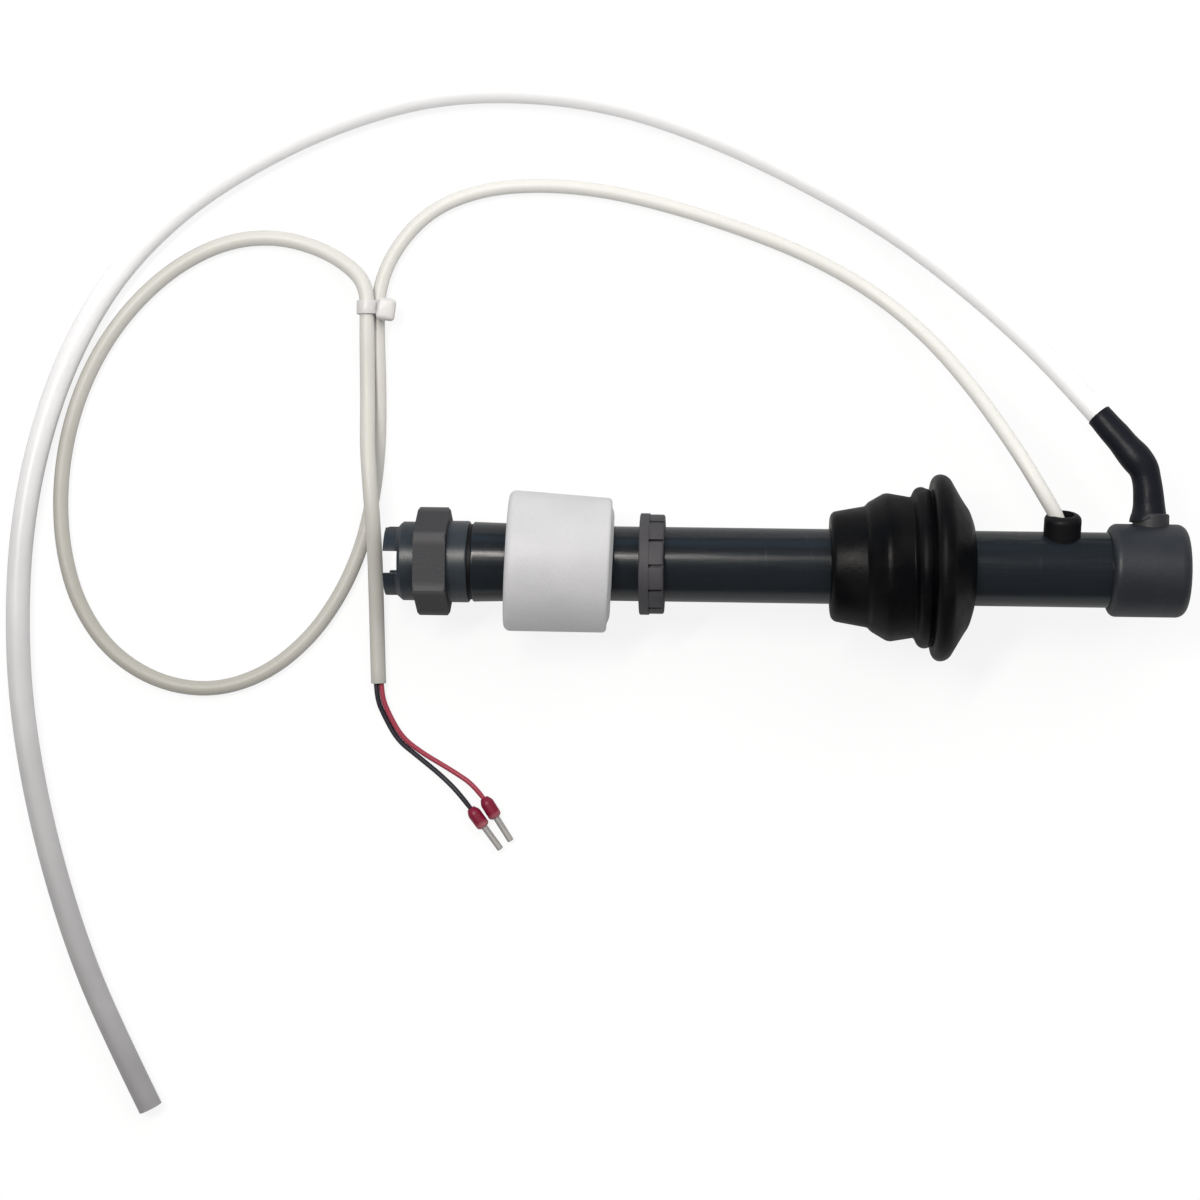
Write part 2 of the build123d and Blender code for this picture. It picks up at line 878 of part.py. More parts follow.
def hose_sleeve():
    """Shrink sleeve that follows the hose from the elbow's collar."""
    path = start_of(hose_route, sleeve_length)
    start = Plane(origin=path @ 0, z_dir=path % 0)
    section = start * (Circle(sleeve_d / 2) - Circle(hose_d / 2 + glue_gap))
    return sweep(section, path)


pieces["suction_hose"] = round_wire(hose_route, cord_radii(hose_route), hose_d, hose_bore_d)
pieces["hose_sleeve"] = hose_sleeve()
pieces["signal_cable"] = round_wire(cable_route, cord_radii(cable_route), cable_d)
pieces["cable_tie"] = cable_tie()
report_cord("suction_hose", hose_route, hose_d, pieces["suction_hose"], hose_bore_d)
report_cord("signal_cable", cable_route, cable_d, pieces["signal_cable"])
for colour, route in wire_routes.items():
    place = ferrule_place(*ferrules[colour])
    pieces[f"wire_{colour}"] = round_wire(route, cord_radii(route), core_d)
    pieces[f"ferrule_collar_{colour}"] = place * ferrule_collar()
    pieces[f"ferrule_pin_{colour}"] = place * ferrule_pin()
    report_cord(f"wire_{colour}", route, core_d, pieces[f"wire_{colour}"])

# How far the moving pieces slide from where they lie, stop_gap short of their stops
lean_gap = nut_face_d / 2 * sin(radians(float_lean))
float_end_x = float_x + float_length + float_crown
travels = {
    "float": (collar_x + lean_gap - float_x, ring_x - lean_gap - float_end_x),
    "bung": (
        ring_x + ring_length - bung_x,
        grommet_x - grommet_d / 2 - bung_x - bung_length,
    ),
}
for name, (down, up) in travels.items():
    print(f"{name} slides {down + stop_gap:.2f} to {up - stop_gap:.2f}")

os.makedirs("parts", exist_ok=True)
for name, piece in pieces.items():
    export_step(piece, f"parts/{name}.step")
print(f"{len(pieces)} nodes, slope {slope:.3f} degrees, shift {tuple(round(v, 3) for v in shift)}")
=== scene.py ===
# %% [markdown]
# # A suction lance with a float level switch
# The lance hangs in a canister of liquid. A pump draws through its slotted foot and its hose,
# and a float on the pipe tells by the cable when the canister is nearly empty.
# The rigid pieces come from a measured model, and this lesson adds what is soft and what a
# surface looks like. Everything is in metres. The lance lies along the X axis: its axis begins at
# `lance_start` in the foot's tip and rises by `slope`.

# %% Load the measured model
from math import pi, radians

import bmesh
import bpy
from mathutils import Matrix, Vector, noise


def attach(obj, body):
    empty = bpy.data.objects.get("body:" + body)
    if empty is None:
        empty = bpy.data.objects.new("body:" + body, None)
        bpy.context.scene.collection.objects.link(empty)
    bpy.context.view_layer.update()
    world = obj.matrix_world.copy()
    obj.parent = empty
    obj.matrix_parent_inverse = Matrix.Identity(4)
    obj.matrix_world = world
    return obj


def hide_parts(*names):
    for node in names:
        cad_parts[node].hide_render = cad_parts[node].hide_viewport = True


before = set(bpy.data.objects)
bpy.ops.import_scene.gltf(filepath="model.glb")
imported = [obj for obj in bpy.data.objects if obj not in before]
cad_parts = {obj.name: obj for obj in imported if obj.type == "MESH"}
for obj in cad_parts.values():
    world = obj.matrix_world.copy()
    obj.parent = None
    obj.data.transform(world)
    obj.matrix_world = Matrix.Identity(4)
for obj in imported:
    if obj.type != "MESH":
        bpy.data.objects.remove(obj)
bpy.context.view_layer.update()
MM = 0.001
lance_start = (-0.106274, 0.0, 0.017082)
slope = radians(3.0068)
print(len(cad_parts), "measured pieces")

# %% [markdown]
# ## The camera
# The photograph looks straight down from about 70 centimetres, so the camera points down too.
# A lens of 75 mm on a 36 mm sensor gives its perspective: what lies higher looks larger.

# %% Camera
camera_data = bpy.data.cameras.new("camera")
camera_data.lens = 75.0
camera_data.sensor_width = 36.0
camera = bpy.data.objects.new("camera", camera_data)
camera.location = (-0.04875, -0.0098, 0.690)
camera.rotation_euler = (0.0, 0.0, radians(0.81))
bpy.context.scene.collection.objects.link(camera)
bpy.context.scene.camera = camera

# %% [markdown]
# ## Numbers, sockets and nodes
# A finish is a few nodes round one shader. Shader maths is easier to read as an expression, so a
# small class wraps a socket, and each sign adds the Math node that it stands for.


# %% A value that changes over a surface
class Varying:
    """A socket of a finish, on which + and * add Math nodes."""

    def __init__(self, finish, socket):
        self.finish = finish
        self.socket = socket

    def maths(self, operation, first, second):
        return self.finish.node("Math", {"operation": operation}, {0: first, 1: second})

    def __add__(self, other):
        return self.maths("ADD", self, other)

    def __mul__(self, other):
        return self.maths("MULTIPLY", self, other)


class Finish:
    """One material: a shader, and the nodes that vary its colour, gloss and relief."""

    def __init__(self, name, colour, roughness, **constants):
        self.material = bpy.data.materials.new(name)
        self.material.use_nodes = True
        self.nodes = self.material.node_tree.nodes
        self.shader = self.nodes["Principled BSDF"]
        self.feed(self.shader, "Base Color", (*colour, 1.0))
        self.feed(self.shader, "Roughness", roughness)
        for socket, value in constants.items():
            self.feed(self.shader, socket.replace("_", " "), value)

    def feed(self, node, name, value):
        """Set or link one input of a node."""
        socket = node.inputs[name]
        if isinstance(value, Varying):
            self.material.node_tree.links.new(value.socket, socket)
        else:
            socket.default_value = value

    def node(self, kind, settings=None, inputs=None, output=0):
        """Add a node, set it, feed its inputs and return one of its outputs."""
        node = self.nodes.new("ShaderNode" + kind)
        for name, value in (settings or {}).items():
            setattr(node, name, value)
        for name, value in (inputs or {}).items():
            self.feed(node, name, value)
        return Varying(self, node.outputs[output])

    def place(self, scale=(1.0, 1.0, 1.0), turn=(0.0, 0.0, 0.0)):
        """Where a point of the piece is, in metres, for a pattern that may be stretched."""
        spot = self.node("TexCoord", output="Object")
        return self.node("Mapping", {}, {"Vector": spot, "Scale": scale, "Rotation": turn})

    def on_lance(self):
        """Where a point is along the lance and how far from its axis, both in millimetres."""
        spot = self.node("TexCoord", output="Object")
        local = self.node(
            "Mapping",
            {"vector_type": "TEXTURE"},
            {
                "Vector": spot,
                "Location": lance_start,
                "Rotation": (0.0, -slope, 0.0),
                "Scale": (MM, MM, MM),
            },
        )
        along = self.node("SeparateXYZ", {}, {"Vector": local})
        flat = self.node("VectorMath", {"operation": "MULTIPLY"}, {0: local, 1: (0.0, 1.0, 1.0)})
        out = self.node("VectorMath", {"operation": "LENGTH"}, {0: flat}, output="Value")
        return along, out

    def towards(self, direction):
        """How far a point lies in a direction, in metres times that direction's length."""
        spot = self.node("TexCoord", output="Object")
        dot = {"operation": "DOT_PRODUCT"}
        return self.node("VectorMath", dot, {0: spot, 1: direction}, output="Value")

    def speckle(self, scale, detail=2.0, stretch=(1.0, 1.0, 1.0), turn=(0.0, 0.0, 0.0)):
        """Soft noise about 0.5, its spots about one over scale metres wide."""
        spot = self.place(stretch, turn)
        return self.node("TexNoise", {}, {"Vector": spot, "Scale": scale, "Detail": detail})

    def between(self, share, low, high):
        """Colour that goes from low to high as share goes from 0 to 1."""
        colours = {0: share, 6: (*low, 1.0), 7: (*high, 1.0)}
        return self.node("Mix", {"data_type": "RGBA"}, colours, output=2)

    def stretched(self, value, low, high):
        """Value between low and high, spread over 0 to 1 and cut off outside."""
        return self.node(
            "MapRange", {"clamp": True}, {"Value": value, "From Min": low, "From Max": high}
        )

    def relief(self, height, depth):
        """Bump of the given depth in metres."""
        bump = self.node("Bump", {}, {"Height": height, "Distance": depth})
        self.feed(self.shader, "Normal", bump)

    def vary(self, name, value):
        """Let one of the shader's own inputs change over the surface."""
        self.feed(self.shader, name, value)


# %% [markdown]
# ## The cords' line
# A cord's line is one smooth spline through the loose route that was measured with the model.
# The hose and the cable get thicker and thinner along the photograph by a few percent, so each
# is a tube that grows ring by ring along that spline, with a radius of its own at each ring.


# %% Line and tube
def spline_line(route, steps):
    """The points of the route's smooth spline, steps of them for each point of the route."""
    curve = bpy.data.curves.new("route", "CURVE")
    curve.dimensions = "3D"
    curve.resolution_u = steps
    spline = curve.splines.new("NURBS")
    spline.points.add(len(route) - 1)
    for point, place in zip(spline.points, route):
        point.co = (*place, 1.0)
    spline.order_u = 3
    spline.use_endpoint_u = True
    holder = bpy.data.objects.new("route", curve)
    mesh = bpy.data.meshes.new_from_object(holder)
    line = [vertex.co.copy() for vertex in mesh.vertices]
    bpy.data.objects.remove(holder)
    bpy.data.meshes.remove(mesh)
    return line


def distances(line):
    """How far along the line each of its points is."""
    gone = [0.0]
    for before, after in zip(line, line[1:]):
        gone.append(gone[-1] + (after - before).length)
    return gone


def radii_along(line, stations):
    """A radius for each point, from (distance along, radius) pairs."""
    radii = []
    for gone in distances(line):
        for (a, low), (b, high) in zip(stations, stations[1:]):
            if gone <= b or (b, high) == stations[-1]:
                share = min(max((gone - a) / (b - a), 0.0), 1.0)
                smooth = share * share * (3 - 2 * share)
                radii.append(low + (high - low) * smooth)
                break
    return radii


def grow_tube(bm, line, radii, sides):
    """Round tube through the line's points, open at both ends, grown ring by ring."""
    heading = (line[1] - line[0]).normalized()
    start = Matrix.Translation(line[0]) @ heading.to_track_quat("Z", "Y").to_matrix().to_4x4()
    made = bmesh.ops.create_circle(bm, segments=sides, radius=radii[0], matrix=start)
    ring = made["verts"]
    edges = list({edge for vert in ring for edge in vert.link_edges})
    for index in range(1, len(line)):
        after = line[min(index + 1, len(line) - 1)]
        following = (after - line[index - 1]).normalized()
        grown = bmesh.ops.extrude_edge_only(bm, edges=edges)["geom"]
        ring = [part for part in grown if isinstance(part, bmesh.types.BMVert)]
        new = set(ring)
        edges = [
            part
            for part in grown
            if isinstance(part, bmesh.types.BMEdge) and set(part.verts) <= new
        ]
        back = Matrix.Translation(-line[index - 1])
        turn = heading.rotation_difference(following).to_matrix().to_4x4()
        size = Matrix.Scale(radii[index] / radii[index - 1], 4)
        move = Matrix.Translation(line[index]) @ turn @ size @ back
        bmesh.ops.transform(bm, matrix=move, verts=ring)
        heading = following


# %% [markdown]
# ## From mesh to piece
# Every piece ends the same way: its mesh is smoothed, it gets its finish, it rides on the body
# that carries it, and the measured pieces that it stands for are hidden.


# %% Finishing a piece
crease = radians(40.0)
rim_angle = radians(50.0)


def finished(name, bm, finish, body, stands_for):
    """Make the mesh an object with smooth faces and sharp creases."""
    mesh = bpy.data.meshes.new(name)
    bm.to_mesh(mesh)
    bm.free()
    mesh.shade_smooth()
    mesh.set_sharp_from_angle(angle=crease)
    piece = bpy.data.objects.new(name, mesh)
    bpy.context.scene.collection.objects.link(piece)
    mesh.materials.append(finish.material)
    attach(piece, body)
    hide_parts(*stands_for)
    print(name, len(mesh.polygons), "faces")
    return piece


def walled(piece, thickness, rounding):
    """Give an open shell a wall on its inner side, with its rim rounded."""
    wall = piece.modifiers.new("wall", "SOLIDIFY")
    wall.thickness = thickness
    wall.offset = -1.0
    wall.use_even_offset = True
    rim = piece.modifiers.new("rim", "BEVEL")
    rim.width = rounding
    rim.segments = 2
    rim.limit_method = "ANGLE"
    rim.angle_limit = rim_angle


# %% [markdown]
# ## Soft and turned shapes
# Rubber and shrunk tubing are never quite even, so their points are pushed about a little by a
# smooth noise. The float, the bung and the ferrules' collars are turned shapes: an outline in
# millimetres, its corners rounded by a bevel, spun once about the X axis. The lance's own axis
# rises by 3 degrees, because it lies on its float and on the wide flange of its bung.


# %% Wrinkle, place and spin
def wrinkle(bm, depth, scale):
    """Push each point by up to depth along its normal, in spots one over scale metres wide."""
    bm.normal_update()
    for vert in bm.verts:
        vert.co += vert.normal * depth * noise.noise(vert.co * scale)


laid = (
    Matrix.Translation(lance_start) @ Matrix.Rotation(-slope, 4, "Y") @ Matrix.Scale(MM, 4)
)


def outline_face(bm, outline):
    """Face through (x, radius, corner) points, each corner cut back and rounded by a bevel."""
    corners = [bm.verts.new((x, radius, 0.0)) for x, radius, corner in outline]
    bm.faces.new(corners)
    for vert, (x, radius, corner) in zip(corners, outline):
        if corner:
            bmesh.ops.bevel(
                bm,
                geom=[vert],
                offset=corner,
                offset_type="OFFSET",
                segments=6,
                profile=0.5,
                affect="VERTICES",
                material=-1,
            )


def turned(outline, steps):
    """Mesh of an outline spun once about X, in millimetres."""
    bm = bmesh.new()
    outline_face(bm, outline)
    bmesh.ops.delete(bm, geom=bm.faces[:], context="FACES_ONLY")
    bmesh.ops.spin(
        bm,
        geom=bm.verts[:] + bm.edges[:],
        axis=(1.0, 0.0, 0.0),
        angle=2 * pi,
        steps=steps,
        use_merge=True,
    )
    bmesh.ops.remove_doubles(bm, verts=bm.verts[:], dist=0.001)
    bmesh.ops.recalc_face_normals(bm, faces=bm.faces[:])
    return bm


# %% [markdown]
# ## The suction hose
# It is a milky polyethylene hose of 6.4 mm with a bore of 4.2 mm. It lets light into its wall,
# which subsurface scattering gives. The window is at the table's far right, and the hose and the
# cable have painted light and shade in their colour: whiter the farther they lie that way, and
# grey at the hose's free end.

# %% Hose
hose_finish = Finish(
    "milky hose",
    (0.80, 0.80, 0.80),
    0.34,
    Subsurface_Weight=0.3,
    Subsurface_Radius=(0.004, 0.004, 0.004),
    Subsurface_Scale=1.0,
)
far_right = (0.8, 1.0, 0.0)
# Painted light and shade: the colour goes whiter towards the window and greyer away from it, over
# a faint real cloudiness.
painted_light_and_cloud = hose_finish.towards(far_right) + hose_finish.speckle(60.0, 3.0) * 0.04
grey_from, white_from = -0.28, -0.05
share = hose_finish.stretched(painted_light_and_cloud, grey_from, white_from)
hose_colour = hose_finish.between(share, (0.22, 0.216, 0.22), (0.81, 0.81, 0.815))
hose_finish.vary("Base Color", hose_colour)
hose_finish.vary("Roughness", hose_finish.speckle(300.0) * 0.2 + 0.24)
hose_finish.relief(hose_finish.speckle(700.0, 3.0), 0.03 * MM)
hose_route = [
    (0.09685, 0.0151, 0.0277), (0.0960, 0.0235, 0.0279), (0.0935, 0.0290, 0.0277),
    (0.0826, 0.0422, 0.0244), (0.06865, 0.0591, 0.0172), (0.05045, 0.0768, 0.0098),
    (0.02925, 0.0935, 0.0048), (0.00495, 0.1071, 0.0034), (-0.02035, 0.1186, 0.0034),
    (-0.04610, 0.1269, 0.0034), (-0.07165, 0.1299, 0.0034), (-0.09745, 0.1285, 0.0034),
    (-0.12225, 0.1210, 0.0034), (-0.14525, 0.1098, 0.0034), (-0.16625, 0.0957, 0.0034),
    (-0.18365, 0.0773, 0.0034), (-0.19575, 0.0554, 0.0034), (-0.20345, 0.0323, 0.0034),
    (-0.20775, 0.0088, 0.0034), (-0.20885, -0.0146, 0.0034), (-0.20765, -0.0384, 0.0034),
    (-0.20355, -0.0632, 0.0034), (-0.19705, -0.0884, 0.0034), (-0.18865, -0.1128, 0.0034),
    (-0.17905, -0.1336, 0.0034), (-0.17015, -0.1511, 0.0034),
]
hose_line = spline_line(hose_route, 10)
hose_stations = [(0.0, 0.00305), (0.15, 0.0031), (0.35, 0.0032), (0.583, 0.0033)]
shell = bmesh.new()
grow_tube(shell, hose_line, radii_along(hose_line, hose_stations), 28)
hose = finished("hose", shell, hose_finish, "lance", ["suction_hose"])
walled(hose, 1.1 * MM, 0.15 * MM)
print("hose length", round(distances(hose_line)[-1], 4))

# %% [markdown]
# ## The shrink sleeve
# Black tubing was slid over the hose and the elbow's barb and shrunk with hot air. It follows
# the hose for 33 mm. Its foot sits askew over the elbow's collar: the line is shifted there, the
# tube is grown from below the collar's rim, and a slanting plane cuts it off. It swells outwards
# where the hose kinks.

# %% Sleeve
sleeve_finish = Finish("shrink sleeve", (0.008, 0.009, 0.013), 0.40, Specular_IOR_Level=0.16)
sleeve_length = 0.0325
foot_reach, foot_shift = 0.012, 0.9
kink_place, kink_reach, kink_swell = 0.016, 0.007, 0.4
cut_drop, cut_normal = 1.2, (0.3, -1.0, 0.0)
sleeve_stations = [
    (0.0, 0.0049), (0.006, 0.0041), (0.012, 0.0038), (0.018, 0.0042), (0.025, 0.0037),
    (0.036, 0.0034),
]
hose_start = hose_line[0]
lead = [hose_start - Vector((0.0, drop, 0.0)) * MM for drop in (2.8, 2.1, 1.4, 0.7)]
sleeve_line = lead + [
    point for point, gone in zip(hose_line, distances(hose_line)) if gone <= sleeve_length
]
for point, gone in zip(sleeve_line, distances(sleeve_line)):
    foot = max(0.0, 1.0 - gone / foot_reach)
    kink = max(0.0, 1.0 - abs(gone - kink_place) / kink_reach)
    point.x += (kink_swell * kink * kink - foot_shift * foot * foot) * MM
shell = bmesh.new()
grow_tube(shell, sleeve_line, radii_along(sleeve_line, sleeve_stations), 40)
wrinkle(shell, 0.12 * MM, 260.0)
bmesh.ops.bisect_plane(
    shell,
    geom=shell.verts[:] + shell.edges[:] + shell.faces[:],
    plane_co=hose_start - Vector((0.0, cut_drop, 0.0)) * MM,
    plane_no=Vector(cut_normal).normalized(),
    clear_outer=True,
)
sleeve = finished("shrink_sleeve", shell, sleeve_finish, "lance", ["hose_sleeve"])
walled(sleeve, 0.4 * MM, 0.12 * MM)
sleeve_finish.vary("Roughness", sleeve_finish.speckle(900.0) * 0.2 + 0.30)
sleeve_finish.relief(sleeve_finish.speckle(1500.0, 3.0), 0.05 * MM)

# %% [markdown]
# ## The signal cable
# A grey sheath of 4 mm with two cores. It leaves the grommet, goes out to the tie, makes one
# loose loop, comes back through the tie and lies over its own first strand.

# %% Cable
cable_finish = Finish("cable sheath", (0.56, 0.55, 0.51), 0.45)
# Painted light and shade, as on the hose: whiter towards the window and greyer away from it, over
# a faint real cloudiness.
painted_light_and_cloud = cable_finish.towards(far_right) + cable_finish.speckle(45.0, 4.0) * 0.05
grey_from, white_from = -0.14, 0.06
share = cable_finish.stretched(painted_light_and_cloud, grey_from, white_from)
cable_colour = cable_finish.between(share, (0.34, 0.33, 0.295), (0.61, 0.605, 0.572))
cable_finish.vary("Base Color", cable_colour)
cable_finish.vary("Roughness", cable_finish.speckle(400.0) * 0.2 + 0.35)
cable_finish.relief(cable_finish.speckle(900.0, 4.0), 0.04 * MM)
cable_route = [
    (0.07305, 0.0077, 0.0293), (0.07220, 0.0125, 0.0312), (0.06790, 0.0190, 0.0330),
    (0.06240, 0.0285, 0.0312), (0.05680, 0.0385, 0.0246), (0.05030, 0.0495, 0.0160),
    (0.04020, 0.0629, 0.0078), (0.02605, 0.0756, 0.0024), (0.00825, 0.0855, 0.0020),
    (-0.01025, 0.0926, 0.0020), (-0.02965, 0.0986, 0.0020), (-0.04865, 0.1029, 0.0020),
    (-0.06635, 0.1043, 0.0020), (-0.08265, 0.1028, 0.0020), (-0.09645, 0.0972, 0.0020),
    (-0.10600, 0.0870, 0.0022), (-0.11080, 0.0754, 0.0030), (-0.11090, 0.0634, 0.0030),
    (-0.11035, 0.0506, 0.0022), (-0.11005, 0.0376, 0.0020), (-0.11055, 0.0256, 0.0020),
    (-0.11215, 0.0138, 0.0020), (-0.11505, 0.0022, 0.0020), (-0.12045, -0.0100, 0.0020),
    (-0.12865, -0.0218, 0.0020), (-0.14045, -0.0316, 0.0020), (-0.15505, -0.0364, 0.0020),
    (-0.17025, -0.0342, 0.0020), (-0.18345, -0.0260, 0.0020), (-0.19225, -0.0134, 0.0020),
    (-0.19665, 0.0012, 0.0020), (-0.19785, 0.0164, 0.0020), (-0.19645, 0.0314, 0.0020),
    (-0.19245, 0.0460, 0.0020), (-0.18585, 0.0596, 0.0020), (-0.17685, 0.0714, 0.0020),
    (-0.16585, 0.0810, 0.0020), (-0.15305, 0.0874, 0.0020), (-0.14025, 0.0890, 0.0020),
    (-0.12845, 0.0864, 0.0022), (-0.11900, 0.0812, 0.0038), (-0.11360, 0.0750, 0.0060),
    (-0.11355, 0.0636, 0.0060), (-0.11335, 0.0526, 0.0052), (-0.11305, 0.0422, 0.0058),
    (-0.11275, 0.0314, 0.0086), (-0.11185, 0.0216, 0.0102), (-0.11095, 0.0116, 0.0098),
    (-0.11045, 0.0014, 0.0062), (-0.11025, -0.0098, 0.0030), (-0.10985, -0.0218, 0.0020),
    (-0.10935, -0.0336, 0.0020),
]
cable_line = spline_line(cable_route, 6)
cable_stations = [(0.0, 0.00195), (0.2, 0.0019), (0.45, 0.00205), (0.7, 0.0021)]
shell = bmesh.new()
grow_tube(shell, cable_line, radii_along(cable_line, cable_stations), 22)
cable = finished("cable", shell, cable_finish, "lance", ["signal_cable"])
walled(cable, 0.7 * MM, 0.15 * MM)
print("cable length", round(distances(cable_line)[-1], 4))

# %% [markdown]
# ## The two cores
# Where the sheath ends, a black and a red core go on for 5 cm, each to a ferrule: a metal pin in
# a red collar. The collar's thin end lets the pin's grey through, so its red fades along it. A
# core looks 1.4 mm thick, and it thins to 1.2 mm to enter the collar.

# %% Ferrule collars
collar_finish = Finish("ferrule collar", (0.22, 0.002, 0.022), 0.42)
pin_side = (0.574, -0.819, 0.0)
share = collar_finish.stretched(collar_finish.towards(pin_side), 0.0118, 0.0142)
collar_colour = collar_finish.between(share, (0.17, 0.001, 0.022), (0.38, 0.15, 0.16))
collar_finish.vary("Base Color", collar_colour)
collar_finish.relief(collar_finish.speckle(900.0, 3.0), 0.02 * MM)
collar_outline = [
    (0.0, 0.66, 0.0), (0.0, 1.05, 0.2), (1.5, 1.88, 0.5), (5.8, 1.85, 0.3), (6.4, 1.2, 0.2),
    (6.4, 0.93, 0.0), (5.9, 0.93, 0.0), (5.9, 0.73, 0.0), (3.9, 0.73, 0.0), (3.9, 0.66, 0.0),
]
collar_places = {
    "black": ((-0.08355, -0.0676, 0.0019), radians(-53.0)),
    "red": ((-0.07995, -0.0647, 0.0019), radians(-57.0)),
}
for colour, (place, heading) in collar_places.items():
    shell = turned(collar_outline, 48)
    turn = Matrix.Rotation(heading, 4, "Z")
    shell.transform(Matrix.Translation(place) @ turn @ Matrix.Scale(MM, 4))
    measured = [f"ferrule_collar_{colour}"]
    finished(
        f"collar_{colour}", shell, collar_finish, "lance", measured
    )

# %% Cores outside the sheath
core_finishes = {
    "black": Finish("black core", (0.018, 0.017, 0.026), 0.4),
    "red": Finish("red core", (0.29, 0.03, 0.055), 0.4),
}
core_routes = {
    "black": [
        (-0.11005, -0.0320, 0.0020), (-0.10990, -0.0375, 0.0019), (-0.10760, -0.0429, 0.0008),
        (-0.10400, -0.0492, 0.0007), (-0.09860, -0.0534, 0.0007), (-0.09100, -0.0594, 0.0010),
        (-0.08565, -0.0648, 0.0019), (-0.08115, -0.0708, 0.0019),
    ],
    "red": [
        (-0.10865, -0.0320, 0.0020), (-0.10850, -0.0370, 0.0019), (-0.10630, -0.0423, 0.0015),
        (-0.10270, -0.0485, 0.0012), (-0.09690, -0.0528, 0.0009), (-0.08930, -0.0571, 0.0009),
        (-0.08185, -0.0618, 0.0019), (-0.07775, -0.0681, 0.0019),
    ],
}
core_radius = 0.6 * MM
seen_radius = 0.0007
thins_from, thins_to = 0.006, 0.003
for colour, route in core_routes.items():
    line = spline_line(route, 8)
    core_length = distances(line)[-1]
    core_stations = [
        (0.0, seen_radius),
        (core_length - thins_from, seen_radius),
        (core_length - thins_to, core_radius),
    ]
    shell = bmesh.new()
    grow_tube(shell, line, radii_along(line, core_stations), 20)
    name = f"core_{colour}"
    core = finished(name, shell, core_finishes[colour], "lance", [f"wire_{colour}"])
for core_finish in core_finishes.values():
    core_finish.vary("Roughness", core_finish.speckle(700.0) * 0.3 + 0.25)
    core_finish.relief(core_finish.speckle(1800.0, 3.0), 0.02 * MM)

# %% [markdown]
# ## The float
# A float of white plastic, moulded with soft edges and closed by a welded lid. Its bore is wider
# than the pipe, so it lies flat on the table while the pipe rises, and leans by 2 degrees
# sideways. Its foot end is hollow by 0.7 mm, which leaves room for the nut.

# %% Float
float_finish = Finish(
    "white float",
    (0.64, 0.635, 0.64),
    0.5,
    Subsurface_Weight=0.2,
    Subsurface_Radius=(0.003, 0.003, 0.003),
    Subsurface_Scale=1.0,
)
grain = float_finish.stretched(float_finish.speckle(1600.0, 5.0), 0.3, 0.7)
cloud = float_finish.stretched(float_finish.speckle(90.0, 3.0), 0.35, 0.65)
share = grain * 0.5 + cloud * 0.5
float_colour = float_finish.between(share, (0.445, 0.445, 0.460), (0.495, 0.493, 0.500))
float_finish.vary("Base Color", float_colour)
float_finish.vary("Roughness", grain * 0.2 + 0.38)
float_finish.relief(grain, 0.03 * MM)
float_start = 32.4
float_length = 27.6
float_bore = 12.0
float_lean = radians(2.1)
hollow = 0.7
crown = 0.7
seam = 0.45
float_outline = [
    (hollow, float_bore, 0.5), (hollow, 15.0, 0.2), (0.0, 15.8, 0.3), (0.0, 18.93, 1.9),
    (float_length - 0.1, 18.05, 1.0), (float_length, 16.35, 0.1),
    (float_length - seam, 16.05, 0.0), (float_length, 15.75, 0.1),
    (float_length + crown, 13.9, 0.8), (float_length + crown, float_bore, 0.5),
]
float_place = (
    laid
    @ Matrix.Translation((float_start + float_length / 2, 0.0, 0.0))
    @ Matrix.Rotation(-float_lean, 4, "Z")
    @ Matrix.Rotation(slope, 4, "Y")
    @ Matrix.Translation((-float_length / 2, 0.0, 0.0))
)
shell = turned(float_outline, 128)
shell.transform(float_place)
measured = ["float_body", "float_lid"]
finished("float", shell, float_finish, "float", measured)

# %% [markdown]
# ## The rubber bung
# It plugs the canister's opening and can be pushed along the pipe. The rubber hugs the pipe, but
# its steps lean by 2 degrees and its flange by nearly one: the farther a point is from the axis,
# the more of that lean it gets.

# %% Bung
bung_finish = Finish("black rubber", (0.002, 0.002, 0.003), 0.42, Specular_IOR_Level=0.13)
bung_start = 118.8
bung_bore = 10.08
flange_start = 26.0
steps_lean, flange_lean = 2.0, 0.8
still_radius, lean_reach = 10.5, 6.0
bung_outline = [
    (0.0, bung_bore, 0.6), (0.1, 14.5, 1.5), (9.7, 16.2, 0.5), (10.3, 17.1, 0.6),
    (15.0, 19.85, 1.0), (21.8, 18.7, 0.5), (23.1, 21.5, 1.3), (25.6, 21.5, 1.0),
    (26.6, 20.4, 0.3), (27.2, 24.85, 1.9), (31.0, 24.85, 1.7), (35.3, 17.7, 0.8),
    (36.6, 15.8, 1.0), (37.9, 12.0, 1.2), (38.2, bung_bore, 0.5),
]
long_edge = 1.5
shell = turned(bung_outline, 128)
bmesh.ops.subdivide_edges(
    shell,
    edges=[
        edge for edge in shell.edges if abs(edge.verts[0].co.x - edge.verts[1].co.x) > long_edge
    ],
    cuts=3,
    use_grid_fill=True,
)
for vert in shell.verts:
    lean = radians(steps_lean if vert.co.x < flange_start else flange_lean)
    from_axis = Vector((0.0, vert.co.y, vert.co.z)).length
    out = min(max((from_axis - still_radius) / lean_reach, 0.0), 1.0)
    vert.co.x -= vert.co.y * lean * out
shell.transform(laid @ Matrix.Translation((bung_start, 0.0, 0.0)))
wrinkle(shell, 0.1 * MM, 130.0)
bloom = bung_finish.stretched(bung_finish.speckle(110.0, 4.0), 0.35, 0.7)
bung_colour = bung_finish.between(bloom, (0.0014, 0.0015, 0.0022), (0.0040, 0.0040, 0.0045))
bung_finish.vary("Base Color", bung_colour)
bung_finish.vary("Roughness", bloom * 0.2 + bung_finish.speckle(900.0) * 0.1 + 0.3)
